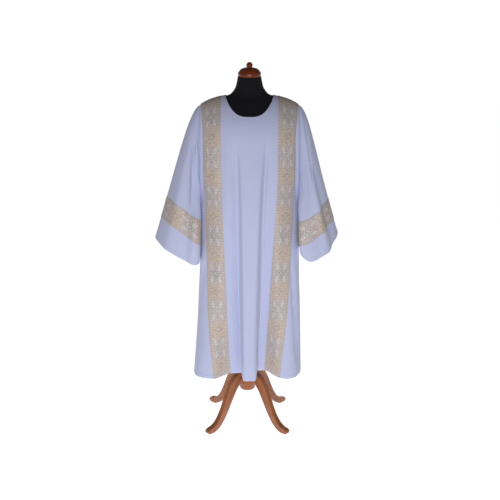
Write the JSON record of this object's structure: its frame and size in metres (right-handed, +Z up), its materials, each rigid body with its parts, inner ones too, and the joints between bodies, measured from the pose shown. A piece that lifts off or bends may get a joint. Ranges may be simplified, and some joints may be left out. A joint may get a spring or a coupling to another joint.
{
  "type": "dalmatic on a limbless dress form",
  "caption": "White dalmatic with woven galloon bands, worn open and hollow by a limbless dress form with a turned wooden cap and a wooden base on legs.",
  "frame": {"origin": "on the floor, under the middle of the whole; the form's axis is 14.5 mm to the +X side", "axes": "+Z up, -Y towards the viewer of the front, +X to the viewer's right"},
  "size_m": [0.846, 0.4189, 1.6808],
  "materials": {
    "cloth": "fine plain weave, faint lavender white",
    "galloon": "woven beige and silver galloon",
    "jersey": "black jersey",
    "wood": "satin varnish",
    "steel": "satin"
  },
  "bodies": {
    "root": {"front_panel": "cloth", "back_panel": "cloth", "sleeve_left": "cloth", "sleeve_right": "cloth", "band_left": "galloon", "band_right": "galloon", "sleeve_band_left": "galloon", "sleeve_band_right": "galloon", "form_torso": "jersey", "form_cap": "wood", "form_pole": "steel", "base_hub": "wood", "base_leg_1": "wood", "base_leg_2": "wood", "base_leg_3": "wood", "base_leg_4": "wood"}
  },
  "joints": []
}
